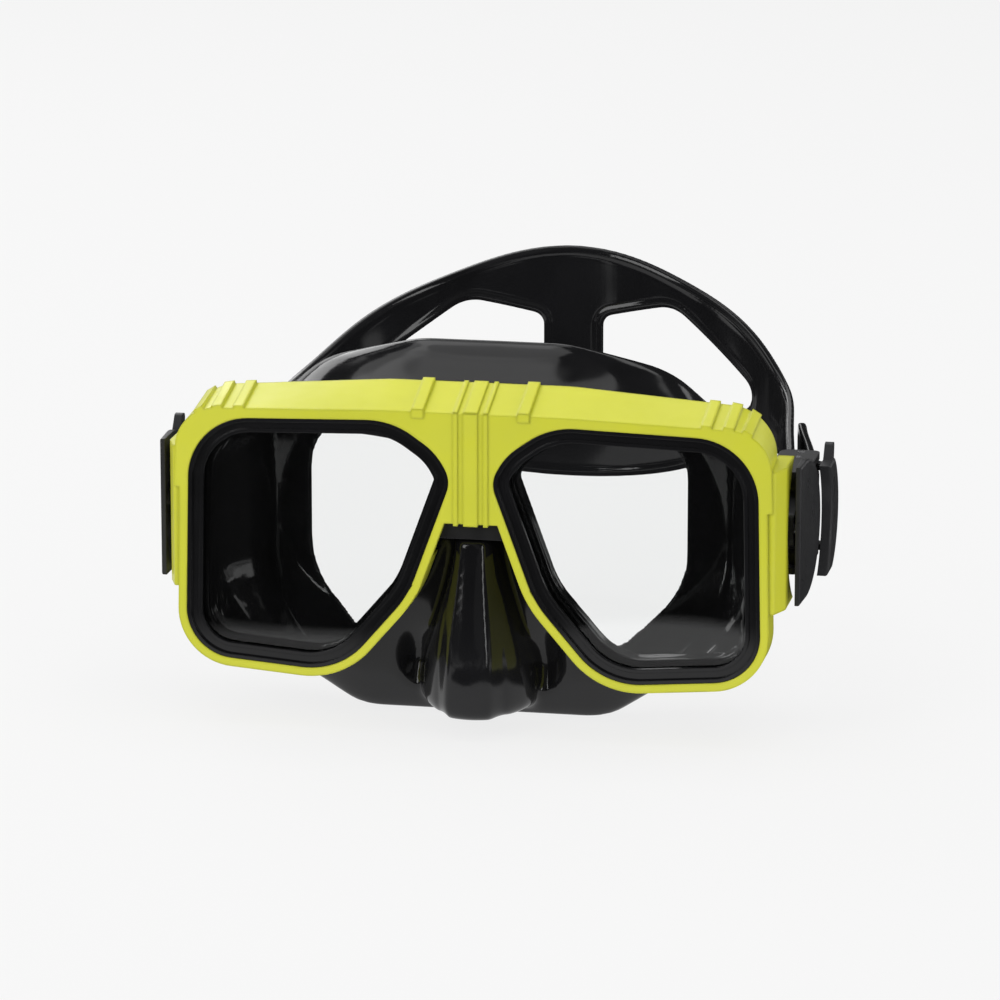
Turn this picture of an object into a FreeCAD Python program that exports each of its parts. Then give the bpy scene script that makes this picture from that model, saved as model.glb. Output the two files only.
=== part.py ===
import FreeCAD, Part
import math
import os

V = FreeCAD.Vector

# Two-lens snorkel mask with a swivel-buckle head strap.
# +X is the wearer's left, the mask faces -Y, +Z is up.  The origin is the middle of the face seal.
# Millimetres.  The right-hand pieces are the left-hand ones mirrored in X = 0.

# ---- driving dimensions ----
face_depth = 45.0      # face seal middle to the frame's front face
eye_wide = 70.5        # one lens opening
eye_tall = 67.9
eye_gap = 12.4         # between the two openings at the narrowest
eye_top = 28.3         # top of the openings above the buckle pivots
rim = 2.2              # yellow rim round each opening
lip_thick = 2.0        # front skin of the yellow frame
skin = 1.1             # side wall of the yellow frame
frame_deep = 9.0       # depth of that wall
visor_run = 15.5       # the sloped visor, front to back
visor_rise = 5.0       # and how far it rises
bezel_wide = 4.0
glass_thick = 3.5
seat_thick = 2.0       # silicone that the glass sits on
rubber = 2.0           # skirt wall
face_wide = 124.0      # skirt width at the temples
brow_reach = 14.7      # forehead edge above the openings
lip_reach = 14.4       # upper-lip edge below them
pivot_back = 17.5      # pivot axis behind the frame's front face
pin_r = 1.5
strap_thick = 2.2
strap_back = 105.0     # middle of the strap's rear pad, behind the seal
strap_narrow = 19.2    # strap height in the buckles
pad_tall = 67.4        # strap height at the back
web_wide = 17.0        # strip between the two windows in the pad

# ---- fits ----
snug = 0.1             # between pieces that are clipped together
run_fit = 0.05         # radial, shaft in a hole
clear = 0.3            # between pieces that move past each other

front = -face_depth
eye_in = eye_gap / 2
eye_out = eye_in + eye_wide
eye_low = eye_top - eye_tall
face_top = eye_top + brow_reach
face_low = lip_reach - eye_low         # measured downwards
pivot_x = eye_out + 0.7                # outer face of the ears that carry the buckles
glass_front = front + 2.2
glass_back = glass_front + glass_thick
seat_back = glass_back + seat_thick
clamp_back = seat_back + 3.0
skirt_front = clamp_back
seal_end = 9.7         # the skirt is drawn to here, and the seal's curves trim it

os.makedirs("parts", exist_ok=True)
made = {}


def save(name, shape):
    """Write one sub-part."""
    shape = shape.removeSplitter()
    made[name] = shape
    shape.exportStep("parts/" + name + ".step")


def mirrored(shape):
    return shape.mirror(V(0, 0, 0), V(1, 0, 0))


def save_pair(name, shape):
    save(name + "_left", shape)
    save(name + "_right", mirrored(shape))


def rounded(points, place):
    """Closed outline through (a, b, radius) corners, put into space by place(a, b)."""
    count = len(points)
    runs = []
    for i in range(count):
        (pa, pb, _), (qa, qb, radius), (sa, sb, _) = points[i - 1], points[i], points[(i + 1) % count]
        back, ahead = V(pa - qa, pb - qb, 0), V(sa - qa, sb - qb, 0)
        half = back.getAngle(ahead) / 2
        corner = V(qa, qb, 0)
        if radius <= 0 or half > math.pi / 2 - 1e-4:
            runs.append((corner, None, corner))
            continue
        tangent = min(radius / math.tan(half), 0.48 * min(back.Length, ahead.Length))
        radius = tangent * math.tan(half)
        back.normalize()
        ahead.normalize()
        inward = (back + ahead).normalize()
        middle = corner + inward * (radius / math.sin(half) - radius)
        runs.append((corner + back * tangent, middle, corner + ahead * tangent))
    edges = []
    for i in range(count):
        start, middle, end = runs[i]
        if middle is not None:
            arc = [place(p.x, p.y) for p in (start, middle, end)]
            edges.append(Part.Arc(*arc).toShape())
        following = runs[(i + 1) % count][0]
        if end.distanceToPoint(following) > 1e-6:
            edges.append(Part.LineSegment(place(end.x, end.y), place(following.x, following.y)).toShape())
    return Part.Wire(edges)


def front_outline(points, y):
    return rounded(points, lambda a, b: V(a, y, b))


def slab(wire, y0, y1):
    """Solid between y0 and y1 over an outline drawn at y = 0."""
    face = Part.Face(wire)
    face.translate(V(0, y0, 0))
    return face.extrude(V(0, y1 - y0, 0))


def side_plate(points, x0, x1):
    """Solid between x0 and x1 over an outline given as (y, z, radius)."""
    wire = rounded(points, lambda a, b: V(x0, a, b))
    return Part.Face(wire).extrude(V(x1 - x0, 0, 0))


def plan_plate(points, z0, z1):
    """Solid between z0 and z1 over an outline given as (x, y, radius)."""
    wire = rounded(points, lambda a, b: V(a, b, z0))
    return Part.Face(wire).extrude(V(0, 0, z1 - z0))


def box(x0, x1, y0, y1, z0, z1):
    return Part.makeBox(x1 - x0, y1 - y0, z1 - z0, V(x0, y0, z0))


def rod_x(radius, x0, x1, y, z):
    return Part.makeCylinder(radius, x1 - x0, V(x0, y, z), V(1, 0, 0))


def rod_z(radius, z0, z1, x, y):
    return Part.makeCylinder(radius, z1 - z0, V(x, y, z0), V(0, 0, 1))


# ---- lens opening ----
def eye_points():
    """Corners of the left opening, from the nose round over the brow."""
    return [
        (eye_in - 1.0, eye_low + 0.775 * eye_tall, 7.4),
        (eye_in + 0.043 * eye_wide, eye_low + 0.882 * eye_tall, 17.0),
        (eye_in + 0.21 * eye_wide, eye_top + 0.2, 21.0),
        (eye_out - 1.4, eye_top - 1.4, 17.0),
        (eye_out, eye_low + 2.6, 13.0),
        (eye_in + 0.413 * eye_wide, eye_low - 0.7, 20.0),
        (eye_in + 0.149 * eye_wide, eye_low + 0.311 * eye_tall, 30.0),
    ]


def eye(grow, y0, y1):
    """The opening's outline, grown evenly, as a solid."""
    wire = front_outline(eye_points(), 0)
    if grow:
        wire = wire.makeOffset2D(grow)
    return slab(wire, y0, y1)


def eye_ring(outer, inner, y0, y1):
    return eye(outer, y0, y1).cut(eye(inner, y0 - 1, y1 + 1))


# ---- yellow front frame ----
visor_half = eye_out + rim + 0.5
visor_flare = -0.9     # the rear edge's half width over the front's
lug_half = 19.0
lug_out = eye_out + 5.3
lug_back = 20.0        # rear of the lug's ends, behind the front face
lug_waist = 9.5        # and of its hollowed middle
pivot_y = front + pivot_back
bridge_low = 1.5


def visor_points(lift, spread, corner, low):
    """Outline of the upper frame; lift and spread move its top and sides."""
    half = visor_half + spread
    top = eye_top + 2.7 + lift
    brow = top - 1.7 - 0.45 * lift
    crown = eye_in + 0.2525 * eye_wide
    return [
        (-half, low, 0),
        (-half + 0.8, brow, corner),
        (-crown, top, 60.0),
        (crown, top, 60.0),
        (half - 0.8, brow, corner),
        (half, low, 0),
    ]


def visor(inset, y0):
    """Sloped upper block; inset shrinks it to make the hollow behind the skin."""
    low = 8.0 - 3 * inset
    a = front_outline(visor_points(-1.3 * inset, -inset, 19.0, low), front)
    b = front_outline(visor_points(visor_rise - 1.3 * inset, visor_flare - inset, 17.0, low),
                      front + visor_run)
    solid = Part.makeLoft([a, b], True, True)
    return solid.common(box(-200, 200, y0, front + visor_run, -100, 100))


def on_outline(points, x, y):
    """Point of the visor's outline straight above x."""
    plumb = Part.makeLine(V(x, y, eye_top - 16), V(x, y, eye_top + 30))
    return front_outline(points, y).distToShape(plumb)[1][0][0]


def slope_bar(x, width, proud):
    """Raised bar over the visor's slope, from the front fold to the rear edge."""
    fold = visor_points(0, 0, 19.0, 8.0)
    edge = visor_points(visor_rise, visor_flare, 17.0, 8.0)
    a = on_outline(fold, x, front)
    b = on_outline(edge, x, front + visor_run)
    across = on_outline(edge, x + 0.5, b.y) - on_outline(edge, x - 0.5, b.y)
    along = b - a
    up = across.cross(along)
    if up.z < 0:
        up = up * -1
    bar = Part.makeBox(along.Length, width, 2 * proud, V(0, -width / 2, -proud))
    bar.Placement = FreeCAD.Placement(a, FreeCAD.Rotation(along, V(0, 0, 0), up, "XZY"))
    return bar


def front_frame():
    body = visor(0, front).cut(visor(1.9, front + lip_thick))
    rings = eye(rim, front, front + frame_deep).cut(eye(skin, front + lip_thick, front + frame_deep + 1))
    # the wall stops short of the nose, where the inner frame crosses from eye to eye
    rings = rings.cut(box(-20, eye_in + 7.8, front + lip_thick, front + 30, -8.0, 26.0))
    # and is thinned where the hinge ears pass
    rings = rings.cut(box(ear_x0, pivot_x + 0.2, front + frame_deep - 3.2, front + 30, -8.3, 8.3))
    rings = rings.fuse(mirrored(rings))
    bridge = slab(front_outline([
        (-eye_in - 1.2, bridge_low, 0.8), (eye_in + 1.2, bridge_low, 0.8),
        (eye_in + 5.8, 12.0, 0), (-eye_in - 5.8, 12.0, 0)], 0),
        front, front + lip_thick)
    body = body.fuse([rings, bridge, lug(), mirrored(lug())])
    # ribs down the bridge and up over the visor
    fold = eye_top + 2.7
    extras = []
    for x, width, proud in ((0, 3.8, 0.5), (4.0, 1.2, 0.45), (-4.0, 1.2, 0.45)):
        extras.append(box(x - width / 2, x + width / 2, front - proud, front + 1.0, bridge_low - 0.5, fold))
        extras.append(slope_bar(x, width, proud))
    for side in (-1, 1):
        extras.append(slope_bar(14 * side, 3.2, 0.9))
        extras.append(box(14 * side - 1.6, 14 * side + 1.6, front - 0.6, front + 1.0, fold - 1.6, fold + 0.7))
        for x in (14.9, 9.1, 4.3):
            extras.append(slope_bar((eye_out - x) * side, 2.8, 0.8))
    body = body.fuse(extras)
    hole = eye(0, front - 3, front + 3).fuse(eye(skin, front + lip_thick, front + 20))
    body = body.cut(hole.fuse(mirrored(hole)))
    notch = snap_tab(0.25)
    return body.cut(notch.fuse(mirrored(notch)))


def lug():
    """Flared side wall in front of the buckle, hollowed behind to let the buckle swing."""
    inner = eye_out + skin
    block = plan_plate([
        (inner, front + 1.2, 0), (visor_half + 0.2, front + 0.4, 1.0), (lug_out, front + 6.5, 2.0),
        (lug_out, front + lug_back, 0), (inner, front + lug_back, 0)], -lug_half, lug_half)
    sag = lug_back - lug_waist
    hollow = (lug_half * lug_half + sag * sag) / (2 * sag)
    return block.cut(rod_x(hollow, inner - 1, lug_out + 1, front + lug_waist + hollow, 0))


def snap_tab(grow):
    """Clip of the inner frame, seen in a notch in the rim beside the nose."""
    tab = box(-2.5 - grow, 2.5 + grow, front + 0.6 - 4 * grow, front + lip_thick + 1, -0.6 - grow, 1.0 + grow)
    tab.rotate(V(0, 0, 0), V(0, 1, 0), 58)
    tab.translate(V(eye_in + 0.149 * eye_wide + 1.0, 0, eye_low + 0.311 * eye_tall + 1.0))
    return tab


# ---- black inner frame ----
ear_x0 = pivot_x - 2.8
boss_out = pivot_x + 2.2


def clamp_frame():
    body = eye_ring(skin - snug, 0, front + lip_thick, seat_back)
    body = body.fuse(eye_ring(skin - snug, -3.0, seat_back, clamp_back))
    ear = side_plate([
        (front + frame_deep - 3, -8.0, 0), (pivot_y - 1.0, -8.0, 2.0), (pivot_y + 4.6, -3.0, 3.0),
        (pivot_y + 4.6, 3.0, 3.0), (pivot_y - 1.0, 8.0, 2.0), (front + frame_deep - 3, 8.0, 0)],
        ear_x0, pivot_x)
    ear = ear.cut(eye(0, front, seat_back)).cut(eye(-3.0, front, clamp_back))
    boss = rod_x(3.2, pivot_x - 0.5, boss_out, pivot_y, 0)
    body = body.fuse([ear, boss])
    body = body.cut(rod_x(pin_r, ear_x0 - 1, boss_out + 1, pivot_y, 0))
    body = body.fuse(mirrored(body))
    bridge = box(-eye_in - 5.8, eye_in + 5.8, front + lip_thick, front + 7, bridge_low - 4.5, eye_top - 4.3)
    room = eye(0, front, front + 10)
    bridge = bridge.cut(room.fuse(mirrored(room)))
    tab = snap_tab(0).common(eye(skin - snug, front, front + 5)).cut(eye(0, front - 1, front + 6))
    return body.fuse([bridge, tab, mirrored(tab)])


# ---- bezels and glass ----
def bezel():
    outer = -snug
    lip = eye_ring(outer, outer - 1.0, front + 0.2, front + 1.2)
    shelf = eye_ring(outer, -bezel_wide, front + 1.2, glass_front)
    step = eye_ring(-bezel_wide + 1.0, -bezel_wide, front + 0.9, front + 1.2)
    wall = eye_ring(outer, -1.8, glass_front, glass_back)
    return lip.fuse([shelf, step, wall])


def lens():
    return eye(-2.0, glass_front, glass_back)


# ---- silicone skirt ----
nose_top = bridge_low - 5.0


def skirt_points(half, top, low, jaw, brow, inset):
    """Section of the skirt seen from the front.  jaw and brow place its lower and upper corners as shares
    of its size, from the middle outwards."""
    h, t, b = half - inset, top - inset, low - inset
    (jaw_in, jaw_side, bend), (brow_in, brow_mid, brow_high, brow_side) = jaw, brow
    right = [
        (h * jaw_in, -b, bend), (h, -b * jaw_side, 1.5 * bend), (h, t * brow_side, 18.0),
        (h * brow_mid, t * brow_high, 30.0), (h * brow_in, t, 30.0)]
    return right + [(-a, c, r) for a, c, r in reversed(right)]


def skirt_shell(inset):
    half = face_wide / 2
    jaw, brow = (0.42, 0.55, 20.0), (0.3, 0.71, 0.83, 0.45)
    rows = [
        (skirt_front, eye_out - 4.2, eye_top + 1.0, 1.0 - eye_low,
         (0.86, 0.82, 8.0), (0.75, 0.92, 0.90, 0.66)),
        (skirt_front + 6.5, half + 9.5, eye_top + 4.5, face_low,
         (0.45, 0.55, 20.0), (0.50, 0.80, 0.88, 0.55)),
        (skirt_front + 22, half + 4.0, face_top + 1.0, face_low + 1.0, jaw, brow),
        (seal_end, half, face_top + 1.0, face_low + 1.0, jaw, brow),
    ]
    wires = [front_outline(skirt_points(h, t, b, j, w, inset), y) for y, h, t, b, j, w in rows]
    return Part.makeLoft(wires, True, False)


def seal_side(shift):
    """Keeps what is in front of the saddle-shaped seal: plan curve for the temples,
    side curve for the brow and lip."""
    far = 200.0
    lip_y = skirt_front + 7.3
    arc = Part.Arc(V(-face_wide / 2 - 4, 7 + shift, -far), V(0, -11 + shift, -far),
                   V(face_wide / 2 + 4, 7 + shift, -far)).toShape()
    ends = [V(face_wide / 2 + 4, 7 + shift, -far), V(far, 7 + shift, -far), V(far, -far, -far),
            V(-far, -far, -far), V(-far, 7 + shift, -far), V(-face_wide / 2 - 4, 7 + shift, -far)]
    plan = Part.Face(Part.Wire([arc] + list(Part.makePolygon(ends).Edges))).extrude(V(0, 0, 2 * far))
    arc = Part.Arc(V(-far, -11 + shift, face_top), V(-far, 4 + shift, -8),
                   V(-far, lip_y + shift, -face_low)).toShape()
    ends = [V(-far, lip_y + shift, -face_low), V(-far, lip_y + shift, -far), V(-far, -far, -far),
            V(-far, -far, far), V(-far, -11 + shift, far), V(-far, -11 + shift, face_top)]
    side = Part.Face(Part.Wire([arc] + list(Part.makePolygon(ends).Edges))).extrude(V(2 * far, 0, 0))
    return plan.common(side)


def nose(inset):
    """Nose pocket: a wedge with a narrow ridge, from under the bridge to the lip."""
    wires = []
    for z, ridge, spread, ahead in ((nose_top - inset, 4.0, 2.0, -2.0), (eye_low + 14.6, 5.3, 6.8, 2.5),
                                    (eye_low - 4.4, 6.6, 9.8, 5.5), (3.0 + inset - face_low, 5.0, 6.8, 1.0)):
        a, b, y = ridge - 0.6 * inset, eye_in + spread - inset, front - ahead
        back = skirt_front + 14.0
        points = [(-b, back, 0), (-b, y + 14.0 + inset, 3.0), (-a, y + inset, 2.5), (a, y + inset, 2.5),
                  (b, y + 14.0 + inset, 3.0), (b, back, 0)]
        wires.append(rounded(points, lambda p, q, h=z: V(p, q, h)))
    return Part.makeLoft(wires, True, False)


def face_opening():
    """The hole that the face goes in."""
    h, t, b = face_wide / 2 - 8, face_top - 9, face_low - 13
    return front_outline([
        (-h, -b * 0.6, 25.0), (-h * 0.66, -b, 14.0), (h * 0.66, -b, 14.0), (h, -b * 0.6, 25.0),
        (h, t * 0.45, 18.0), (h * 0.68, t * 0.8, 25.0), (h * 0.35, t, 30.0),
        (-h * 0.35, t, 30.0), (-h * 0.68, t * 0.8, 25.0), (-h, t * 0.45, 18.0)], 0)


def skirt():
    outer = skirt_shell(0).common(seal_side(0)).fuse(nose(0))
    inner = skirt_shell(rubber).common(seal_side(-rubber))
    inner = inner.common(box(-200, 200, skirt_front + rubber, 200, -200, 200))
    mouth = slab(face_opening(), skirt_front + 6.5, 60)
    body = outer.cut(inner).cut(mouth).cut(nose(rubber))
    # seats for the two panes, and the necks that pass through the inner frame
    seat = eye_ring(-0.3, -5.0, glass_back, seat_back)
    neck = eye_ring(-3.0 - clear, -5.0, seat_back, skirt_front + rubber)
    window = eye(-5.0, front - 5, skirt_front + rubber + 1)
    body = body.fuse([seat, neck, mirrored(seat), mirrored(neck)])
    return body.cut(window.fuse(mirrored(window)))


# ---- swivel buckles ----
tongue_x0 = boss_out + 0.2
tongue_x1 = tongue_x0 + 3.0
cheek_in = pivot_x - 2.9
cheek_out = pivot_x + 5.7
cheek_thick = 1.8
strap_low = strap_narrow / 2
inside = strap_low + 2.4
cheek_top = inside + cheek_thick
roller_r = 2.2
roller_x = pivot_x + 2.6
roller_y = pivot_y + 23.0
lever_x = roller_x
lever_y = roller_y + 5.6
cover_r = 18.5
cover_x0 = pivot_x + 6.6
cover_x1 = cover_x0 + 2.9
cover_taper = 1.5


def hinge_cover():
    """D-shaped plate: straight in front, round behind, about the swivel axis, thinner towards the front."""
    ahead, behind = pivot_y - 8.5, pivot_y + cover_r
    slope = cover_taper / (behind - ahead)
    disc = rod_x(cover_r, cover_x0, cover_x1, pivot_y, 0)
    strip = box(cover_x0, cover_x1, ahead, pivot_y, -cover_r, cover_r)
    plate = disc.common(box(0, 200, pivot_y, 200, -50, 50)).fuse(strip).removeSplitter()
    plate = plate.cut(plan_plate([
        (cover_x1 - cover_taper - slope, ahead - 1, 0), (cover_x1 + 1, ahead - 1, 0),
        (cover_x1 + 1, behind + 1, 0), (cover_x1 + slope, behind + 1, 0)], -cover_r - 1, cover_r + 1))
    rims = [e for e in plate.Edges
            if all(abs(v.X - cover_x1 + slope * (behind - v.Y)) < 1e-4 for v in e.Vertexes)]
    plate = plate.makeFillet(0.6, rims)
    return plate.cut(rod_x(pin_r, cover_x0 - 1, cover_x0 + 1.2, pivot_y, 0))


def pivot_pin():
    return rod_x(pin_r, ear_x0, cover_x0 + 1.2, pivot_y, 0).fuse(rod_x(2.6, ear_x0 - 1.0, ear_x0, pivot_y, 0))


def buckle():
    web_y = roller_y - 6.0
    tongue = side_plate([
        (pivot_y - 3.6, -3.6, 3.5), (web_y - 8, -8.0, 2.0), (web_y - 8, -inside, 0), (web_y, -inside, 0),
        (web_y, inside, 0), (web_y - 8, inside, 0), (web_y - 8, 8.0, 2.0), (pivot_y - 3.6, 3.6, 3.5)],
        tongue_x0, tongue_x1)
    body = tongue
    for side in (-1, 1):
        z0, z1 = sorted((side * inside, side * cheek_top))
        cheek = plan_plate([
            (cheek_in, pivot_y + 5.5, 2.0), (cheek_out, pivot_y + 5.5, 2.0), (cheek_out, pivot_y + 16.0, 0.8),
            (cheek_out + 1.9, pivot_y + 18.0, 0.8), (cheek_out + 1.9, lever_y + 2.2, 2.0),
            (cheek_in, lever_y + 2.2, 3.0)], z0, z1)
        body = body.fuse(cheek)
    for x, y in ((roller_x, roller_y), (lever_x, lever_y)):
        body = body.cut(rod_z(1.0, -cheek_top - 1, cheek_top + 1, x, y))
    return body.cut(rod_x(pin_r + run_fit, tongue_x0 - 1, tongue_x1 + 1, pivot_y, 0))


def roller():
    """Drum that the strap turns round, with grip grooves."""
    long = strap_low + 0.1
    drum = rod_z(roller_r, -long, long, roller_x, roller_y)
    grooves = []
    for i in range(8):
        turn = math.radians(45 * i)
        grooves.append(rod_z(0.35, -long + 2, long - 2, roller_x + roller_r * math.cos(turn),
                             roller_y + roller_r * math.sin(turn)))
    drum = drum.cut(grooves[0].fuse(grooves[1:]))
    return drum.cut(rod_z(1.0 + run_fit, -long - 1, long + 1, roller_x, roller_y))


def cross_pin(x, y):
    return rod_z(1.0, -cheek_top, cheek_top, x, y)


def lever():
    """Slotted crescent behind the hinge cover, with a finger tip and two arms to its pin."""
    x0, x1 = cover_x1 + 0.1, cover_x1 + 3.0
    shell = rod_x(16.3, x0, x1, pivot_y + 15.2, 0).cut(rod_x(cover_r + 0.8, x0 - 1, x1 + 1, pivot_y, 0))
    shell = shell.common(box(x0, x1, pivot_y, 100, -15.4, 13.8))
    edges = [e for e in shell.Edges if e.BoundBox.XMin > x1 - 1e-6]
    shell = shell.makeFillet(0.7, edges)
    slot = rod_x(cover_r + 6.2, x0 - 1, x1 + 1, pivot_y, 0)
    slot = slot.cut(rod_x(cover_r + 4.8, x0 - 2, x1 + 2, pivot_y, 0))
    shell = shell.cut(slot.common(box(x0 - 2, x1 + 2, pivot_y, 100, -10.0, 9.0)))
    tip = side_plate([
        (lever_y - 10.0, 12.0, 0), (lever_y - 3.6, 11.0, 0), (lever_y - 2.6, 17.8, 1.2),
        (lever_y - 5.6, 17.8, 1.2)],
        x0 + 0.1, x1 - 0.6)
    body = shell.fuse(tip)
    for side in (-1, 1):
        z0, z1 = sorted((side * (strap_low + 0.4), side * (inside - clear)))
        arm = plan_plate([
            (lever_x - 1.9, lever_y - 1.9, 1.8), (lever_x + 1.9, lever_y - 1.9, 0),
            (x0 + 0.5, lever_y - 5.5, 0), (x0 + 0.5, lever_y - 2.2, 0),
            (lever_x + 1.9, lever_y + 1.9, 1.0), (lever_x - 1.9, lever_y + 1.9, 1.8)],
            z0, z1)
        body = body.fuse(arm)
    return body.cut(rod_z(1.0 + run_fit, -30, 30, lever_x, lever_y))


def lever_spring():
    """Torsion coil round the lever's pin, between its arms."""
    mean, wire_r, pitch, height = 1.5, 0.25, 1.0, 11.0
    helix = Part.makeHelix(pitch, height, mean)
    profile = Part.Wire(Part.makeCircle(wire_r, V(mean, 0, 0), V(0, 1, 0)))
    coil = Part.Wire(helix.Edges).makePipeShell([profile], True, True)
    coil.translate(V(lever_x, lever_y, -height / 2))
    return coil


# ---- head strap ----
def smooth(points, z=0.0):
    curve = Part.BSplineCurve()
    curve.interpolate([V(x, y, z) for x, y in points])
    return curve


def ribbon(points, thick, z0, z1, steps=18):
    """Band of even thickness along a smooth plan curve, standing on edge."""
    curve = smooth(points)
    first, last = curve.FirstParameter, curve.LastParameter
    sides = ([], [])
    for i in range(steps + 1):
        t = first + (last - first) * i / steps
        p, d = curve.value(t), curve.tangent(t)[0]
        n = V(-d.y, d.x, 0)
        sides[0].append((p.x + n.x * thick / 2, p.y + n.y * thick / 2))
        sides[1].append((p.x - n.x * thick / 2, p.y - n.y * thick / 2))
    a, b = smooth(sides[0], z0), smooth(sides[1], z0)
    caps = [Part.LineSegment(a.EndPoint, b.EndPoint), Part.LineSegment(b.StartPoint, a.StartPoint)]
    wire = Part.Wire([a.toShape(), caps[0].toShape(), b.toShape(), caps[1].toShape()])
    return Part.Face(wire).extrude(V(0, 0, z1 - z0))


bend_r = roller_r + clear + strap_thick / 2


def along(share):
    """Y at a share of the way from the rollers to the back of the strap."""
    return roller_y + share * (strap_back - roller_y)


def band_route():
    """Plan route of the left half of the strap, buckle to back."""
    x = roller_x - bend_r
    return [(x, along(-0.027)), (x - 0.3, along(0.11)), (x - 2.4, along(0.256)), (x - 5.0, along(0.411)),
            (x - 8.6, along(0.584)), (x - 19.6, along(0.753)), (x - 39.4, along(0.909)), (0, strap_back)]


def strap():
    route = band_route()
    whole = route + [(-x, y) for x, y in reversed(route[:-1])]
    behind = box(-200, 200, roller_y, 300, -100, 100)
    band = ribbon(whole, strap_thick, -60, 80, 60)
    band = band.common(strap_side()).common(strap_front()).common(behind)
    for side in (-1, 1):
        band = band.cut(window(side))
    turn = rod_z(bend_r + strap_thick / 2, -strap_low, strap_low, roller_x, roller_y)
    turn = turn.cut(rod_z(bend_r - strap_thick / 2, -40, 40, roller_x, roller_y))
    turn = turn.common(box(0, 200, -200, roller_y, -50, 50))
    out = roller_x + bend_r
    gap = strap_thick + 0.5
    tail = ribbon([(out, along(-0.027)), (out - 0.4, along(0.064)), (out - 2.2, along(0.16)),
                   (out - 5.4, along(0.30)), (route[3][0] + gap + 0.4, along(0.45)),
                   (route[3][0] + gap - 1.8, along(0.56))], strap_thick, -strap_low, strap_low)
    tail = tail.common(behind)
    for x in (roller_x - bend_r, out):
        core, tall = strap_thick / 2 - 0.3, strap_low - 0.3
        turn = turn.fuse(box(x - core, x + core, roller_y - 1.0, roller_y + 1.5, -tall, tall))
    ends = turn.fuse(tail)
    return band.fuse([ends, mirrored(ends)])


def strap_side():
    """Side view of the strap: level and narrow at the buckles, rising and widening to the pad."""
    n, h = strap_low, pad_tall / 2
    top = [(along(-0.18), n), (along(0), n), (along(0.22), n + 1.2), (along(0.49), n + 5.4),
           (along(0.62), n + 8.8), (along(0.767), n + 18.0), (along(0.863), h), (along(0.936), h + 5.0),
           (along(1.018), h + 14.0)]
    low = [(along(-0.18), -n), (along(0), -n), (along(0.22), 0.8 - n), (along(0.49), 4.6 - n),
           (along(0.64), 6.8 - n), (along(0.758), 4.0 - n), (along(0.863), 23.0 - h),
           (along(0.936), 17.0 - h), (along(1.018), 11.0 - h)]
    x = -150
    upper, lower = Part.BSplineCurve(), Part.BSplineCurve()
    upper.interpolate([V(x, a, b) for a, b in top])
    lower.interpolate([V(x, a, b) for a, b in low])
    caps = [Part.LineSegment(upper.EndPoint, lower.EndPoint),
            Part.LineSegment(lower.StartPoint, upper.StartPoint)]
    wire = Part.Wire([upper.toShape(), caps[0].toShape(), lower.toShape(), caps[1].toShape()])
    return Part.Face(wire).extrude(V(300, 0, 0))


def strap_front():
    """Rear view of the pad: domed top."""
    h, y = pad_tall / 2, roller_y - 30
    dome = Part.Arc(V(-78, y, h - 16.4), V(0, y, h + 12.2), V(78, y, h - 16.4)).toShape()
    ends = [V(78, y, h - 16.4), V(140, y, h - 16.4), V(140, y, -100), V(-140, y, -100), V(-140, y, h - 16.4),
            V(-78, y, h - 16.4)]
    return Part.Face(Part.Wire([dome] + list(Part.makePolygon(ends).Edges))).extrude(V(0, 200, 0))


def window(side):
    """Tear-drop window in the pad."""
    w, h = web_wide / 2, pad_tall / 2
    points = [(w, 26.0 - h, 3.0), (w, h - 8.2, 3.5), (w + 21.5, h - 3.0, 10.0), (w + 51.5, h - 24.0, 5.0),
              (w + 27.5, 29.0 - h, 25.0)]
    hole = slab(front_outline(points, 0), 20, strap_back + 20)
    return hole if side > 0 else mirrored(hole)


save("front_frame", front_frame())
save("clamp_frame", clamp_frame())
save_pair("bezel", bezel())
save_pair("lens", lens())
save("skirt", skirt())
save_pair("hinge_cover", hinge_cover())
save_pair("pivot_pin", pivot_pin())
save_pair("buckle", buckle())
save_pair("roller", roller())
save_pair("roller_pin", cross_pin(roller_x, roller_y))
save_pair("lever", lever())
save_pair("lever_pin", cross_pin(lever_x, lever_y))
save_pair("lever_spring", lever_spring())
save("strap", strap())
for name, shape in made.items():
    print(name, shape.isValid(), len(shape.Solids), round(shape.Volume, 1))
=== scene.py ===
import math

import bpy
import numpy as np
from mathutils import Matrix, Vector


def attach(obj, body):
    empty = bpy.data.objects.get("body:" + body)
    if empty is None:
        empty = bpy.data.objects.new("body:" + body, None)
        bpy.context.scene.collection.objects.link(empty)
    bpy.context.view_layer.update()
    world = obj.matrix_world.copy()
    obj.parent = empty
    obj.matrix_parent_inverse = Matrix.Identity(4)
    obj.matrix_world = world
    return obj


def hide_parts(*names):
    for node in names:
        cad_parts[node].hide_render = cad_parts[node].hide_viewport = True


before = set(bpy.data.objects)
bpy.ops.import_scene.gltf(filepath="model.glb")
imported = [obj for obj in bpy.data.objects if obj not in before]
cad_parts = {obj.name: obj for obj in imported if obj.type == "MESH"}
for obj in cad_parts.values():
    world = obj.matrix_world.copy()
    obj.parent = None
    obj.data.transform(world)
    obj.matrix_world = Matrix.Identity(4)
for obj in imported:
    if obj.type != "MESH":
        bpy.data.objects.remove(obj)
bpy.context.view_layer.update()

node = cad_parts

# Shapes are worked out in millimetres in the part's frame: +X wearer's left, -Y out of the lenses, +Z up.
# The sizes below are those of the CAD part.
MM = 0.001
WHITE = (1.0, 1.0, 1.0, 1.0)

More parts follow.
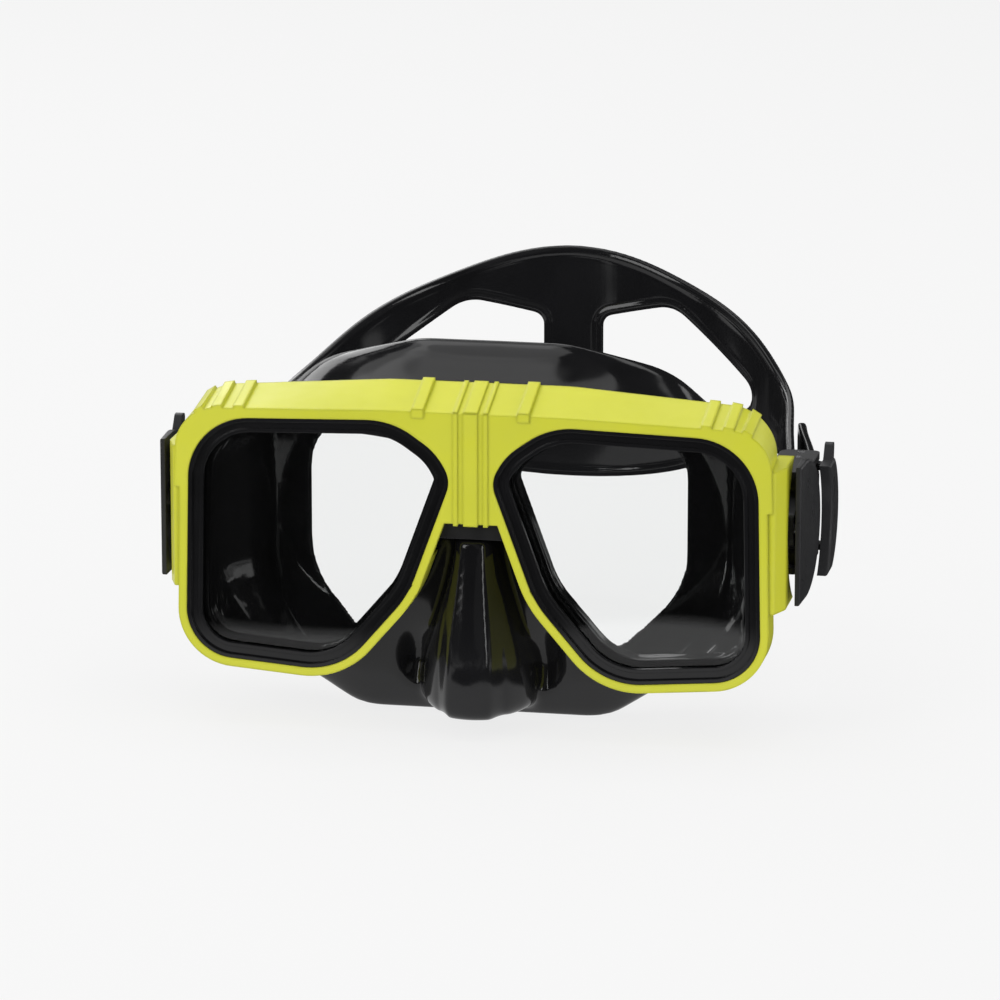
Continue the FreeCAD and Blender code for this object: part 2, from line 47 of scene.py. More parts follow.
FRONT = -45.0
EYE_IN, EYE_WIDE, EYE_TOP, EYE_TALL = 6.2, 70.5, 28.3, 67.9
EYE_OUT = EYE_IN + EYE_WIDE
EYE_LOW = EYE_TOP - EYE_TALL
GLASS_BACK, SEAT_BACK, SKIRT_FRONT = -39.3, -37.3, -34.3
FACE_WIDE, FACE_TOP, FACE_LOW = 124.0, 43.0, 54.0
SEAL_END = 9.7
RUBBER = 2.0
SEAT_WIDE = 5.0       # ledge that the glass sits on
PIVOT_Y = FRONT + 17.5
ROLLER_X, ROLLER_Y, ROLLER_R = 80.0, PIVOT_Y + 23.0, 2.2
STRAP_THICK, STRAP_BACK, STRAP_LOW, PAD_TALL, WEB = 2.2, 105.0, 9.6, 67.4, 17.0
BEND_R = ROLLER_R + 0.3 + STRAP_THICK / 2


# ---------------------------------------------------------------- camera, light, floor
def aim(thing, target):
    back = thing.location - target
    thing.rotation_euler = back.to_track_quat("Z", "Y").to_euler()


def link(name, data):
    thing = bpy.data.objects.new(name, data)
    bpy.context.scene.collection.objects.link(thing)
    return thing


def add_camera():
    turn, rise, distance = math.radians(11.0), math.radians(14.06), 1.5
    target = Vector((0.0078, -0.045, 0.0085))
    back = Vector((math.sin(turn) * math.cos(rise), -math.cos(turn) * math.cos(rise), math.sin(rise)))
    data = bpy.data.cameras.new("camera")
    data.sensor_width = 36.0
    data.lens = 3.85 * 36.0 * distance
    data.clip_start = 0.05
    camera = link("camera", data)
    camera.location = target + back * distance
    aim(camera, target)
    bpy.context.scene.camera = camera


def softbox(name, place, wide, tall, radiance, target=(0, 0, 0)):
    data = bpy.data.lights.new(name, "AREA")
    data.shape = "RECTANGLE"
    data.size = wide
    data.size_y = tall
    data.energy = math.pi * wide * tall * radiance
    lamp = link(name, data)
    lamp.location = place
    aim(lamp, Vector(target))
    return lamp


def patchy(tree, output, scale, edge, dark, bright):
    """Strength of sparse light patches with crisp edges, and the coordinates that they are read at."""
    place = add(tree, "TexCoord")
    patches = add(tree, "TexNoise", Scale=scale, Detail=0.0)
    join(tree, place, output, patches, "Vector")
    glare = add(tree, "MapRange", From_Min=edge[0], From_Max=edge[1], To_Min=dark, To_Max=bright)
    join(tree, patches, "Fac", glare, "Value")
    return place, glare


def add_light():
    """Even light from all round, with reflections that see only the boxes and faint patches."""
    world = bpy.data.worlds.new("studio")
    bpy.context.scene.world = world
    world.use_nodes = True
    tree = world.node_tree
    tree.nodes.clear()
    path = add(tree, "LightPath")
    light = add(tree, "Background", Color=WHITE, Strength=0.60)
    dark = add(tree, "Background", Color=WHITE)
    place, glare = patchy(tree, "Generated", 2.4, (0.55, 0.57), 0.02, 0.8)
    split = add(tree, "SeparateXYZ")
    join(tree, place, "Generated", split, "Vector")
    behind = add(tree, "MapRange", From_Min=-0.2, From_Max=0.1, To_Min=0.12, To_Max=1.0)
    join(tree, split, "Y", behind, "Value")
    lit = tree.nodes.new("ShaderNodeMath")
    lit.operation = "MULTIPLY"
    join(tree, glare, "Result", lit, 0)
    join(tree, behind, "Result", lit, 1)
    join(tree, lit, "Value", dark, "Strength")
    mixed = add(tree, "MixShader")
    join(tree, path, "Is Glossy Ray", mixed, 0)
    join(tree, light, "Background", mixed, 1)
    join(tree, dark, "Background", mixed, 2)
    join(tree, mixed, "Shader", add(tree, "OutputWorld"), "Surface")
    softbox("top_box", (0.0, 0.10, 1.0), 1.3, 0.55, 2.1).visible_glossy = False
    softbox("top_card", (-0.28, 0.12, 1.0), 0.60, 0.5, 0.9).visible_diffuse = False
    softbox("key_box", (-0.75, -1.0, 0.55), 0.55, 0.8, 3.1)
    softbox("side_box", (1.0, -0.75, 0.25), 0.30, 0.9, 3.0)
    softbox("back_box", (-0.7, 0.9, 0.7), 0.8, 0.5, 2.4)


def add_floor():
    """Pale floor that is almost white to the eye and mostly dark in reflections."""
    size, low = 12.0, -0.0558
    mesh = bpy.data.meshes.new("floor")
    corners = [(-size, -size, low), (size, -size, low), (size, size, low), (-size, size, low)]
    mesh.from_pydata(corners, [], [(0, 1, 2, 3)])
    floor = link("floor", mesh)
    made, tree = blank("floor_paint")
    path = add(tree, "LightPath")
    matt = add(tree, "BsdfDiffuse", Color=(0.86, 0.86, 0.86, 1.0))
    glow = add(tree, "Emission", Color=WHITE, Strength=0.93)
    seen = add(tree, "MixShader", Fac=0.86)
    join(tree, matt, "BSDF", seen, 1)
    join(tree, glow, "Emission", seen, 2)
    dim = add(tree, "Emission", Color=WHITE)
    glare = patchy(tree, "Object", 5.0, (0.575, 0.595), 0.015, 0.65)[1]
    join(tree, glare, "Result", dim, "Strength")
    mixed = add(tree, "MixShader")
    join(tree, path, "Is Glossy Ray", mixed, 0)
    join(tree, seen, "Shader", mixed, 1)
    join(tree, dim, "Emission", mixed, 2)
    out = add(tree, "OutputMaterial")
    join(tree, mixed, "Shader", out, "Surface")
    paint(floor, made)


# ---------------------------------------------------------------- materials
def blank(name):
    made = bpy.data.materials.new(name)
    made.use_nodes = True
    made.node_tree.nodes.clear()
    return made, made.node_tree


def add(tree, kind, **values):
    """A shader node with numbers set on its sockets; names with _ stand for sockets with spaces."""
    made = tree.nodes.new("ShaderNode" + kind)
    for key, value in values.items():
        made.inputs[key.replace("_", " ")].default_value = value
    return made


def join(tree, source, output, target, entry):
    tree.links.new(source.outputs[output], target.inputs[entry])


def noise(tree, scale, detail=2.0, rough=0.5):
    place = add(tree, "TexCoord")
    made = add(tree, "TexNoise", Scale=scale, Detail=detail, Roughness=rough)
    join(tree, place, "Object", made, "Vector")
    return made


def spread(tree, source, output, low, high):
    """Maps a 0 to 1 value onto low to high."""
    made = add(tree, "MapRange", From_Min=0.3, From_Max=0.7, To_Min=low, To_Max=high)
    join(tree, source, output, made, "Value")
    return made


def moulded(name, color, tint, rough, grain, grain_deep, edge, coat=0.0, coat_rough=0.1, scatter=0.0):
    """Moulded plastic or rubber: cloudy tint, patchy gloss, fine grain over slow sink marks, soft edges.
    edge is the radius that edges are shaded with, in millimetres."""
    made, tree = blank(name)
    body = add(tree, "BsdfPrincipled", Coat_Weight=coat, Coat_Roughness=coat_rough)
    if scatter:
        body.inputs["Subsurface Weight"].default_value = scatter
        body.inputs["Subsurface Radius"].default_value = (0.004, 0.004, 0.001)
    cloud = noise(tree, 35.0, 3.0)
    mix = tree.nodes.new("ShaderNodeMix")
    mix.data_type = "RGBA"
    mix.inputs[6].default_value = (*color, 1.0)
    mix.inputs[7].default_value = (*tint, 1.0)
    join(tree, spread(tree, cloud, "Fac", 0.0, 1.0), "Result", mix, 0)
    tree.links.new(mix.outputs[2], body.inputs["Base Color"])
    patch = noise(tree, 140.0, 4.0, 0.6)
    join(tree, spread(tree, patch, "Fac", rough * 0.8, rough * 1.25), "Result", body, "Roughness")
    soften = add(tree, "Bevel", Radius=edge * MM)
    soften.samples = 4
    slow = add(tree, "Bump", Strength=1.0, Distance=0.04 * MM)
    join(tree, noise(tree, 60.0, 1.0), "Fac", slow, "Height")
    join(tree, soften, "Normal", slow, "Normal")
    fine = add(tree, "Bump", Strength=1.0, Distance=grain_deep)
    join(tree, noise(tree, grain, 2.0, 0.6), "Fac", fine, "Height")
    join(tree, slow, "Normal", fine, "Normal")
    join(tree, fine, "Normal", body, "Normal")
    if coat:
        join(tree, slow, "Normal", body, "Coat Normal")
    out = add(tree, "OutputMaterial")
    join(tree, body, "BSDF", out, "Surface")
    return made


def metal(name, color, rough):
    made, tree = blank(name)
    body = add(tree, "BsdfPrincipled", Base_Color=(*color, 1.0), Metallic=1.0)
    brush = noise(tree, 900.0, 3.0)
    join(tree, spread(tree, brush, "Fac", rough * 0.7, rough * 1.4), "Result", body, "Roughness")
    bump = add(tree, "Bump", Strength=1.0, Distance=0.000006)
    join(tree, brush, "Fac", bump, "Height")
    join(tree, bump, "Normal", body, "Normal")
    out = add(tree, "OutputMaterial")
    join(tree, body, "BSDF", out, "Surface")
    return made


def clear_glass(name):
    """Thin clear pane: lets light straight through, with a faint cool tint and sharp reflections."""
    made, tree = blank(name)
    facing = add(tree, "Fresnel", IOR=1.5)
    smear = add(tree, "Bump", Strength=1.0, Distance=0.000002)
    join(tree, noise(tree, 25.0, 2.0), "Fac", smear, "Height")
    join(tree, smear, "Normal", facing, "Normal")
    through = add(tree, "BsdfTransparent", Color=(0.995, 1.0, 0.998, 1.0))
    shine = add(tree, "BsdfGlossy", Color=WHITE)
    film = noise(tree, 90.0, 3.0)
    join(tree, spread(tree, film, "Fac", 0.0, 0.03), "Result", shine, "Roughness")
    join(tree, smear, "Normal", shine, "Normal")
    mixed = add(tree, "MixShader")
    join(tree, facing, "Fac", mixed, 0)
    join(tree, through, "BSDF", mixed, 1)
    join(tree, shine, "BSDF", mixed, 2)
    out = add(tree, "OutputMaterial")
    join(tree, mixed, "Shader", out, "Surface")
    return made


def paint(thing, material):
    thing.data.materials.clear()
    thing.data.materials.append(material)


# ---------------------------------------------------------------- fields and surfaces
def outline(corners, per=7):
    """Closed outline through (a, b, radius) corners, as points."""
    points = []
    count = len(corners)
    for i in range(count):
        before, here, after = (np.array(corners[j % count][:2], float) for j in (i - 1, i, i + 1))
        radius = corners[i][2]
        back, ahead = before - here, after - here
        long_back, long_ahead = np.linalg.norm(back), np.linalg.norm(ahead)
        back, ahead = back / long_back, ahead / long_ahead
        half = math.acos(np.clip(back @ ahead, -1, 1)) / 2
        if radius <= 0 or half > 1.5706:
            points.append(here)
            continue
        tangent = min(radius / math.tan(half), 0.48 * min(long_back, long_ahead))
        radius = tangent * math.tan(half)
        inward = (back + ahead) / np.linalg.norm(back + ahead)
        centre = here + inward * radius / math.sin(half)
        start, end = here + back * tangent - centre, here + ahead * tangent - centre
        sweep = math.pi - 2 * half
        for k in range(per + 1):
            part = k / per
            spoke = start * math.sin((1 - part) * sweep) + end * math.sin(part * sweep)
            points.append(centre + spoke / math.sin(sweep))
    return np.array(points)


def flat_distance(points, a, b):
    """Signed distance from a closed outline, negative inside, over the arrays a and b."""
    nearest = np.full(np.broadcast(a, b).shape, 1e9, np.float32)
    inside = np.zeros(nearest.shape, bool)
    for (pa, pb), (qa, qb) in zip(points, np.roll(points, -1, axis=0)):
        da, db = qa - pa, qb - pb
        part = np.clip(((a - pa) * da + (b - pb) * db) / max(da * da + db * db, 1e-12), 0, 1)
        nearest = np.minimum(nearest, (a - pa - part * da) ** 2 + (b - pb - part * db) ** 2)
        if abs(db) > 1e-12:
            inside ^= ((pb > b) != (qb > b)) & (a < (b - pb) * da / db + pa)
    return np.where(inside, -np.sqrt(nearest), np.sqrt(nearest)).astype(np.float32)


def both(a, b, soft):
    """Where both fields are inside, with the edge rounded."""
    share = np.clip(0.5 - 0.5 * (b - a) / soft, 0, 1)
    return b + (a - b) * share + soft * share * (1 - share)


def either(a, b, soft):
    return -both(-a, -b, soft)


def true_distance(field, steps):
    """Rescales a field so that it changes by about a millimetre per millimetre."""
    slopes = np.gradient(field, *steps)
    return field / np.maximum(np.sqrt(sum(s * s for s in slopes)), 0.35)


def surface(field, low, steps):
    """Points and quads where a field crosses zero: one point per mixed cell, at the mean of its crossings."""
    inside = field < 0
    cells = tuple(n - 1 for n in field.shape)
    corners = [(i, j, k) for i in (0, 1) for j in (0, 1) for k in (0, 1)]
    count = np.zeros(cells, np.int8)
    for i, j, k in corners:
        count += inside[i:cells[0] + i, j:cells[1] + j, k:cells[2] + k]
    mixed = (count > 0) & (count < 8)
    at = np.argwhere(mixed)
    total = np.zeros((len(at), 3), np.float32)
    hits = np.zeros(len(at), np.float32)
    for p in corners:
        for axis in range(3):
            if p[axis]:
                continue
            q = tuple(1 if n == axis else p[n] for n in range(3))
            here = field[tuple((at + p).T)]
            there = field[tuple((at + q).T)]
            crossed = (here < 0) != (there < 0)
            part = np.where(crossed, here / np.where(crossed, here - there, 1), 0)
            for n in range(3):
                total[:, n] += crossed * (p[n] + (part if n == axis else 0))
            hits += crossed
    points = (at + total / hits[:, None]) * np.array(steps) + np.array(low)
    number = np.full(cells, -1, np.int64)
    number[tuple(at.T)] = np.arange(len(at))
    quads = []
    for axis in range(3):
        u, v = (axis + 1) % 3, (axis + 2) % 3
        ahead = [slice(None)] * 3
        ahead[axis] = slice(1, None)
        behind = [slice(None)] * 3
        behind[axis] = slice(None, -1)
        changed = np.argwhere(inside[tuple(ahead)] != inside[tuple(behind)])
        changed = changed[(changed[:, u] > 0) & (changed[:, v] > 0)
                          & (changed[:, u] < cells[u]) & (changed[:, v] < cells[v])]
        du, dv = np.zeros(3, int), np.zeros(3, int)
        du[u], dv[v] = 1, 1
        ring = [number[tuple((changed - a * du - b * dv).T)] for a, b in ((1, 1), (0, 1), (0, 0), (1, 0))]
        quad = np.stack(ring, axis=1)
        flip = ~inside[tuple(changed.T)]
        quad[flip] = quad[flip][:, ::-1]
        quads.append(quad)
    return points, np.concatenate(quads)


def relax(points, quads, rounds):
    """Evens the points out; each second pass pushes back what the first one shrank."""
    pairs = np.concatenate([quads[:, [i, (i + 1) % 4]] for i in range(4)])
    near = np.bincount(pairs[:, 0], minlength=len(points)).astype(float)
    for pull in (0.5, -0.52) * rounds:
        total = [np.bincount(pairs[:, 0], points[pairs[:, 1], n], len(points)) for n in range(3)]
        mean = np.stack(total, axis=1) / np.maximum(near, 1)[:, None]
        points = points + pull * (mean - points)
    return points


def shape(name, points, quads, material, body, stands_for):
    mesh = bpy.data.meshes.new(name)
    mesh.from_pydata((points * MM).tolist(), [], quads.tolist())
    mesh.polygons.foreach_set("use_smooth", np.ones(len(mesh.polygons), bool))
    mesh.update()
    thing = link(name, mesh)
    paint(thing, material)
    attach(thing, body)
    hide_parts(stands_for)
    return thing


# ---------------------------------------------------------------- face skirt
def eye_outline():
    return outline([
        (EYE_IN - 1.0, EYE_LOW + 0.775 * EYE_TALL, 7.4),
        (EYE_IN + 0.043 * EYE_WIDE, EYE_LOW + 0.882 * EYE_TALL, 17.0),
        (EYE_IN + 0.21 * EYE_WIDE, EYE_TOP + 0.2, 21.0),
        (EYE_OUT - 1.4, EYE_TOP - 1.4, 17.0),
        (EYE_OUT, EYE_LOW + 2.6, 13.0),
        (EYE_IN + 0.413 * EYE_WIDE, EYE_LOW - 0.7, 20.0),
        (EYE_IN + 0.149 * EYE_WIDE, EYE_LOW + 0.311 * EYE_TALL, 30.0),
    ])


def skirt_outline(half, top, low, jaw, brow):
    """Section of the skirt; jaw and brow place its corners as shares of its size."""
    (jaw_in, jaw_side, bend), (brow_in, brow_mid, brow_high, brow_side) = jaw, brow
    right = [(half * jaw_in, -low, bend), (half, -low * jaw_side, 1.5 * bend), (half, top * brow_side, 18.0),
             (half * brow_mid, top * brow_high, 30.0), (half * brow_in, top, 30.0)]
    return outline(right + [(-a, b, r) for a, b, r in reversed(right)])


def through(stations, values, y):
    """Smooth curve through values at the stations, flat at its last one."""
    slopes = [(values[1] - values[0]) / (stations[1] - stations[0])]
    for i in range(1, len(values) - 1):
        slopes.append((values[i + 1] - values[i - 1]) / (stations[i + 1] - stations[i - 1]))
    slopes.append(values[-1] * 0)
    i = int(np.clip(np.searchsorted(stations, y) - 1, 0, len(values) - 2))
    wide = stations[i + 1] - stations[i]
    t = min(max((y - stations[i]) / wide, -0.5), 1.0)
    return ((2 * t ** 3 - 3 * t ** 2 + 1) * values[i] + (t ** 3 - 2 * t ** 2 + t) * wide * slopes[i]
            + (3 * t ** 2 - 2 * t ** 3) * values[i + 1] + (t ** 3 - t ** 2) * wide * slopes[i + 1])


def step_up(value, start, end):
    t = np.clip((value - start) / (end - start), 0, 1)
    return t * t * (3 - 2 * t)


def skirt_wall(levels, flat_x, flat_z):
    """Distance from the skirt's side wall: its section changes from the frame to the seal."""
    half = FACE_WIDE / 2
    jaw, brow = (0.42, 0.55, 20.0), (0.3, 0.71, 0.83, 0.45)
    stations = (SKIRT_FRONT, SKIRT_FRONT + 6.5, SKIRT_FRONT + 22, SEAL_END)
    sizes = (
        (EYE_OUT - 4.2, EYE_TOP + 1.0, 1.0 - EYE_LOW, (0.86, 0.82, 8.0), (0.75, 0.92, 0.90, 0.66)),
        (half + 9.5, EYE_TOP + 4.5, FACE_LOW, (0.45, 0.55, 20.0), (0.50, 0.80, 0.88, 0.55)),
        (half + 4.0, FACE_TOP + 1.0, FACE_LOW + 1.0, jaw, brow),
        (half, FACE_TOP + 1.0, FACE_LOW + 1.0, jaw, brow),
    )
    rows = [flat_distance(skirt_outline(*size), flat_x, flat_z) for size in sizes]
    return np.stack([through(stations, rows, level) for level in levels], axis=1)


def seal_distance(x, y, z):
    """Saddle-shaped seal: a deep curve across the face and a shallow one down it."""
    across = -11 + 18 * (x / (FACE_WIDE / 2 + 4)) ** 2
    down = np.where(z > -8, 4 - 15 * ((z + 8) / 51) ** 2, 4 - 31 * ((z + 8) / 46) ** 2)
    return y - np.minimum(across, down)


def nose_pocket(far, y, z, steps):
    """A broad ridge, a facet falling away on each side, and a round foot."""
    drop = step_up(-z, 3.0, 46.0)
    ridge, facet = 3.9 + 2.9 * drop, 2.0 + 7.0 * drop
    crest = -43.2 - 7.3 * step_up(-z, -6.0, 44.0)
    shoulder = 2.8 * step_up(far, ridge - 1.6, ridge + 2.4)
    flank = 5.6 * step_up(far, ridge + 1.0, ridge + facet + 3.0)
    back = 0.035 * far ** 2 + shoulder + flank
    pocket = true_distance(crest + back - y, steps)
    pocket = both(pocket, far - (ridge + facet), 3.0)
    pocket = both(pocket, -z - (FACE_LOW - 3.0), 5.0)
    pocket = both(pocket, z + 3.5, 1.5)
    return both(pocket, y + 22.0, 1.0)


def face_opening(flat_x, flat_z):
    """Distance from the outline of the hole that the face goes in."""
    half, top, low = FACE_WIDE / 2 - 8, FACE_TOP - 9, FACE_LOW - 13
    return flat_distance(outline([
        (-half, -low * 0.6, 25.0), (-half * 0.66, -low, 14.0),
        (half * 0.66, -low, 14.0), (half, -low * 0.6, 25.0),
        (half, top * 0.45, 18.0), (half * 0.68, top * 0.8, 25.0), (half * 0.35, top, 30.0),
        (-half * 0.35, top, 30.0), (-half * 0.68, top * 0.8, 25.0), (-half, top * 0.45, 18.0)]),
        flat_x, flat_z)[:, None, :]


def skirt_field(x, y, z, steps):
    far = np.abs(x)
    flat_x, flat_z = x[:, 0, :], z[:, 0, :]
    wall = skirt_wall(y[0, :, 0], flat_x, flat_z)
    seal = seal_distance(x, y, z)
    bag = both(true_distance(wall, steps), seal, 3.0)
    bag = both(bag, SKIRT_FRONT - y, 1.5)
    # finger wells beside the nose
    well = 5.0 * np.exp(-((far - 17.0) / 4.6) ** 2 - ((z + 39.0) / 9.0) ** 2)
    bag = both(bag, SKIRT_FRONT + well - y, 1.0)
    whole = true_distance(either(bag, nose_pocket(far, y, z, steps), 2.2), steps)
    # hollow, thinner towards the seal, and open at the back
    thick = RUBBER - 0.5 * step_up(y, -16.0, 4.0)
    shell = both(whole, -(whole + thick), 0.5)
    opening = face_opening(flat_x, flat_z)
    shell = both(shell, -both(opening, SKIRT_FRONT + 8.0 - y, 1.0), 0.8)
    # second lip inside the first
    inner = both(np.abs(seal + 6.5) - 0.65, np.maximum(whole + 0.8, -(opening + 3.0)), 0.6)
    shell = either(shell, inner, 1.2)
    # windows, and the seats and necks that hold the glass
    eyes = flat_distance(eye_outline(), np.abs(flat_x), flat_z)[:, None, :]
    inward = -(eyes + SEAT_WIDE)
    seat_deep = np.maximum(GLASS_BACK + 0.02 - y, y - SEAT_BACK)
    neck_deep = np.maximum(SEAT_BACK - 0.5 - y, y - SKIRT_FRONT - RUBBER)
    seat = both(both(eyes + 0.3, inward, 0.3), seat_deep, 0.3)
    neck = both(both(eyes + 3.3, inward, 0.3), neck_deep, 0.3)
    pane = both(both(eyes + SEAT_WIDE, wall + RUBBER, 0.5), y - SKIRT_FRONT - RUBBER - 0.6, 0.5)
    shell = both(shell, -pane, 0.5)
    return either(either(shell, seat, 0.3), neck, 0.5)


def add_skirt(material):
    step = 0.65
    low, high = (-75.0, -53.0, -57.0), (75.0, 12.5, 47.0)
    axes = [np.arange(a, b + step, step, dtype=np.float32) for a, b in zip(low, high)]
    x, y, z = np.meshgrid(*axes, indexing="ij")
    field = skirt_field(x, y, z, (step,) * 3)
    points, quads = surface(field.astype(np.float32), low, (step,) * 3)
    points = relax(points, quads, 2)
    return shape("face_skirt", points, quads, material, "mask", "skirt")


# ---------------------------------------------------------------- head strap
def spline(knots, per=24):
    """Smooth curve through plan points, by natural cubics over their chord length."""
    p = np.array(knots, float)
    t = np.concatenate([[0], np.cumsum(np.linalg.norm(np.diff(p, axis=0), axis=1))])
    h = np.diff(t)
    n = len(p)
    a, b = np.eye(n), np.zeros((n, 2))
    for i in range(1, n - 1):
        a[i, i - 1:i + 2] = h[i - 1], 2 * (h[i - 1] + h[i]), h[i]
        b[i] = 6 * ((p[i + 1] - p[i]) / h[i] - (p[i] - p[i - 1]) / h[i - 1])
    bend = np.linalg.solve(a, b)
    out = []
    for i in range(n - 1):
        for k in range(per):
            u = h[i] * k / per
            v = h[i] - u
            out.append((bend[i] * v ** 3 + bend[i + 1] * u ** 3) / (6 * h[i])
                       + (p[i] / h[i] - bend[i] * h[i] / 6) * v
                       + (p[i + 1] / h[i] - bend[i + 1] * h[i] / 6) * u)
    return np.array(out + [p[-1]])


def along(share):
    return ROLLER_Y + share * (STRAP_BACK - ROLLER_Y)


def strap_route():
    """Plan line of the left half: back of the head, round the roller, and the folded tail."""
    x = ROLLER_X - BEND_R
    half = [(x, along(0)), (x - 0.3, along(0.11)), (x - 2.4, along(0.256)), (x - 5.0, along(0.411)),
            (x - 8.6, along(0.584)), (x - 19.6, along(0.753)), (x - 39.4, along(0.909)), (0, STRAP_BACK)]
    whole = spline(half + [(-a, b) for a, b in reversed(half[:-1])])
    band = whole[:len(whole) // 2 + 1][::-1]
    turns = np.linspace(math.pi, 2 * math.pi, 25)[1:-1]
    turn = np.stack([ROLLER_X + BEND_R * np.cos(turns), ROLLER_Y + BEND_R * np.sin(turns)], axis=1)
    out, gap = ROLLER_X + BEND_R, STRAP_THICK + 0.5
    tail = spline([(out, along(0)), (out - 0.4, along(0.064)), (out - 2.2, along(0.16)),
                   (out - 5.4, along(0.30)), (half[3][0] + gap + 0.4, along(0.45)),
                   (half[3][0] + gap - 1.8, along(0.56))])
    return band, turn, tail


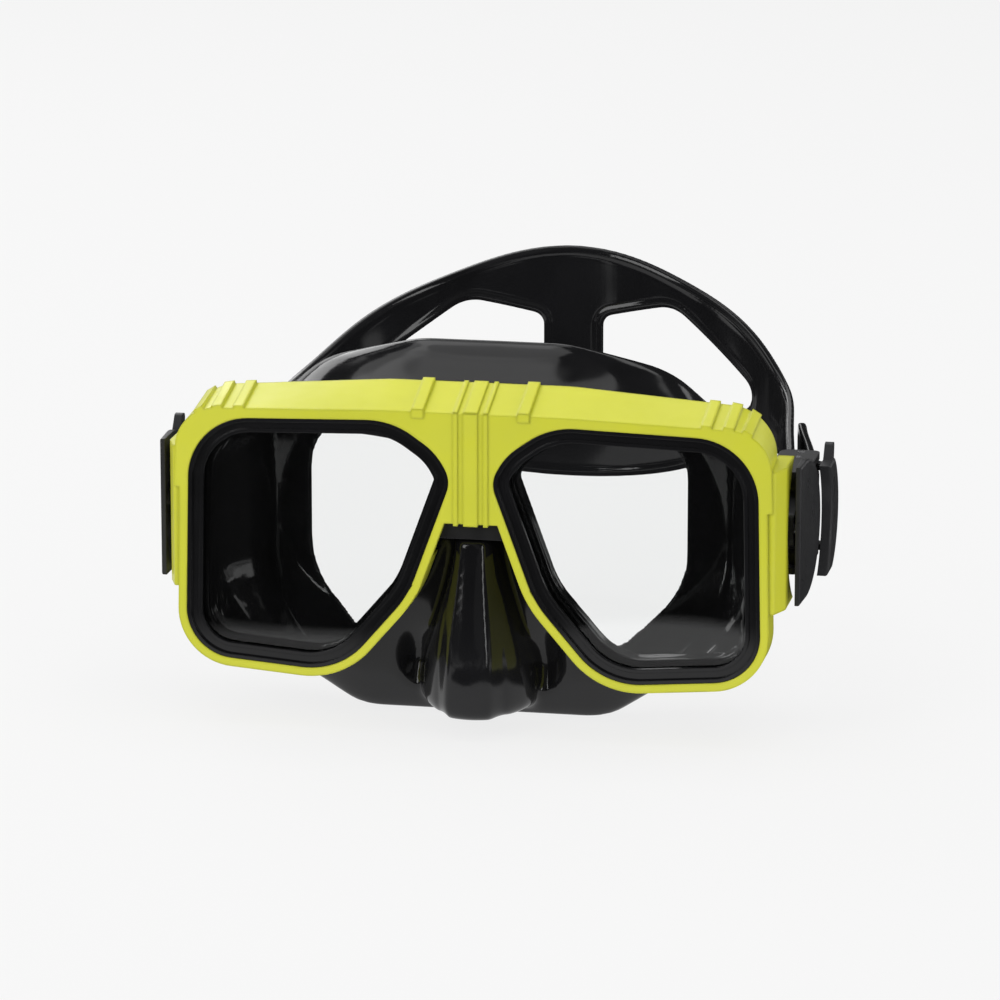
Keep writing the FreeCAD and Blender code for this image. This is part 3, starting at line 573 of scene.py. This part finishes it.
def add_strap(material):
    band, turn, tail = strap_route()
    route = np.concatenate([band, turn, tail])
    run = np.concatenate([[0], np.cumsum(np.linalg.norm(np.diff(route, axis=0), axis=1))])
    band_end = run[len(band) - 1]
    tail_start = run[len(band) + len(turn)]
    ds, dw, dz = ((0.55, 0.3, 0.55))
    s = np.arange(-run[-1] - 3, run[-1] + 3 + ds, ds)
    w = np.arange(-2.4, 2.0 + dw, dw)
    z = np.arange(-36.0, 49.0 + dz, dz)
    here = np.abs(s)
    x = np.interp(here, run, route[:, 0])
    y = np.where(here < band_end, np.interp(here, run, route[:, 1]), ROLLER_Y)
    n, h = STRAP_LOW, PAD_TALL / 2
    tops = [(-0.18, n), (0, n), (0.22, n + 1.2), (0.49, n + 5.4), (0.62, n + 8.8), (0.767, n + 18.0),
            (0.863, h), (0.936, h + 5.0), (1.018, h + 14.0)]
    lows = [(-0.18, -n), (0, -n), (0.22, 0.8 - n), (0.49, 4.6 - n), (0.64, 6.8 - n),
            (0.758, 4.0 - n), (0.863, 23.0 - h), (0.936, 17.0 - h), (1.018, 11.0 - h)]
    edges = []
    for knots in (tops, lows):
        line = spline([(along(a), b) for a, b in knots])
        edges.append(np.interp(y, line[:, 0], line[:, 1]))
    rise, reach = 28.6, 78.0
    radius = (reach ** 2 + rise ** 2) / (2 * rise)
    dome = h + 12.2 - radius + np.sqrt(np.maximum(radius ** 2 - x ** 2, 0))
    top, bottom = np.minimum(edges[0], dome), edges[1]
    sz, zz = np.meshgrid(s, z, indexing="ij")
    flat = both(zz - top[:, None], bottom[:, None] - zz, 1.5)
    hole = outline([(WEB / 2, 26.0 - h, 3.0), (WEB / 2, h - 8.2, 3.5), (WEB / 2 + 21.5, h - 3.0, 10.0),
                    (WEB / 2 + 51.5, h - 24.0, 5.0), (WEB / 2 + 27.5, 29.0 - h, 25.0)])
    windows = flat_distance(hole, np.broadcast_to(x[:, None], zz.shape), zz)
    windows = np.where((here < band_end - 20)[:, None], windows, 50.0)
    flat = both(flat, -windows, 0.5)
    flat = both(flat, np.abs(sz) - (run[-1] - 0.2), 6.0)
    slopes = np.gradient(flat, ds, dz)
    flat = flat / np.maximum(np.sqrt(slopes[0] ** 2 + slopes[1] ** 2), 0.4)
    half = STRAP_THICK / 2
    bead = 0.4 * np.exp(-((flat + 1.5) / 0.75) ** 2)
    toothed = step_up(np.abs(sz), tail_start + 6, tail_start + 8) * step_up(run[-1] - np.abs(sz), 3.0, 5.0)
    toothed = toothed * step_up(-flat, 2.0, 2.6)
    wave = (np.abs(sz) / 2.6) % 1.0
    tooth = 0.75 * np.where(wave < 0.75, wave / 0.75, (1 - wave) / 0.25) * toothed
    inner = half - 0.1 + bead * (1 - toothed) + tooth
    depth = w[None, :, None]
    field = both(flat[:, None, :], np.maximum(depth - half, -depth - inner[:, None, :]), 0.7)
    points, quads = surface(field.astype(np.float32), (s[0], w[0], z[0]), (ds, dw, dz))
    points = relax(points, quads, 1)
    # wrap the flat ribbon round its route
    back = points[:, 0] < 0
    at = np.abs(points[:, 0])
    ahead = np.gradient(route, run, axis=0)
    ahead /= np.linalg.norm(ahead, axis=1)[:, None]
    px, py = np.interp(at, run, route[:, 0]), np.interp(at, run, route[:, 1])
    nx, ny = -np.interp(at, run, ahead[:, 1]), np.interp(at, run, ahead[:, 0])
    over = np.maximum(at - run[-1], 0)
    px, py = px + over * ahead[-1, 0], py + over * ahead[-1, 1]
    px, py = px + nx * points[:, 1], py + ny * points[:, 1]
    placed = np.stack([np.where(back, -px, px), py, points[:, 2]], axis=1)
    return shape("head_strap", placed, quads[:, ::-1], material, "strap_carrier", "strap")


# ---------------------------------------------------------------- build
add_camera()
add_light()
add_floor()

yellow = moulded("yellow_shell", (0.655, 0.665, 0.034), (0.60, 0.615, 0.026), 0.36, 2600.0, 0.0000022, 1.1,
                 coat=0.25, coat_rough=0.20, scatter=0.06)
silicone = moulded("black_silicone", (0.006, 0.006, 0.0065), (0.009, 0.009, 0.010), 0.10, 1800.0,
                   0.0000008, 0.2)
strap_paint = moulded("strap_silicone", (0.007, 0.007, 0.0075), (0.010, 0.010, 0.011), 0.09, 1500.0,
                      0.0000008, 0.2)
ring_black = moulded("bezel_black", (0.006, 0.006, 0.0065), (0.009, 0.009, 0.010), 0.12, 2200.0,
                     0.0000006, 0.3)
frame_black = moulded("frame_black", (0.010, 0.010, 0.0105), (0.016, 0.016, 0.017), 0.30, 2400.0,
                      0.0000014, 0.3)
buckle_black = moulded("buckle_black", (0.022, 0.022, 0.0235), (0.030, 0.030, 0.032), 0.33, 2600.0,
                       0.0000016, 0.4)
drum_black = moulded("roller_black", (0.015, 0.015, 0.016), (0.022, 0.022, 0.023), 0.38, 2400.0,
                     0.0000016, 0.15)
steel = metal("pin_steel", (0.60, 0.60, 0.62), 0.22)
wire = metal("spring_steel", (0.48, 0.48, 0.50), 0.30)
glass = clear_glass("tempered_glass")

kinds = (("front_frame", yellow), ("clamp_frame", frame_black), ("bezel", ring_black), ("lens", glass),
         ("hinge_cover", buckle_black), ("buckle", buckle_black), ("roller_pin", steel), ("roller", drum_black),
         ("lever_pin", steel), ("lever_spring", wire), ("lever", buckle_black), ("pivot_pin", steel))
for name, thing in node.items():
    if name in ("skirt", "strap"):
        continue
    paint(thing, next(look for start, look in kinds if name.startswith(start)))

add_skirt(silicone)
add_strap(strap_paint)

bpy.context.scene.view_settings.view_transform = "Standard"
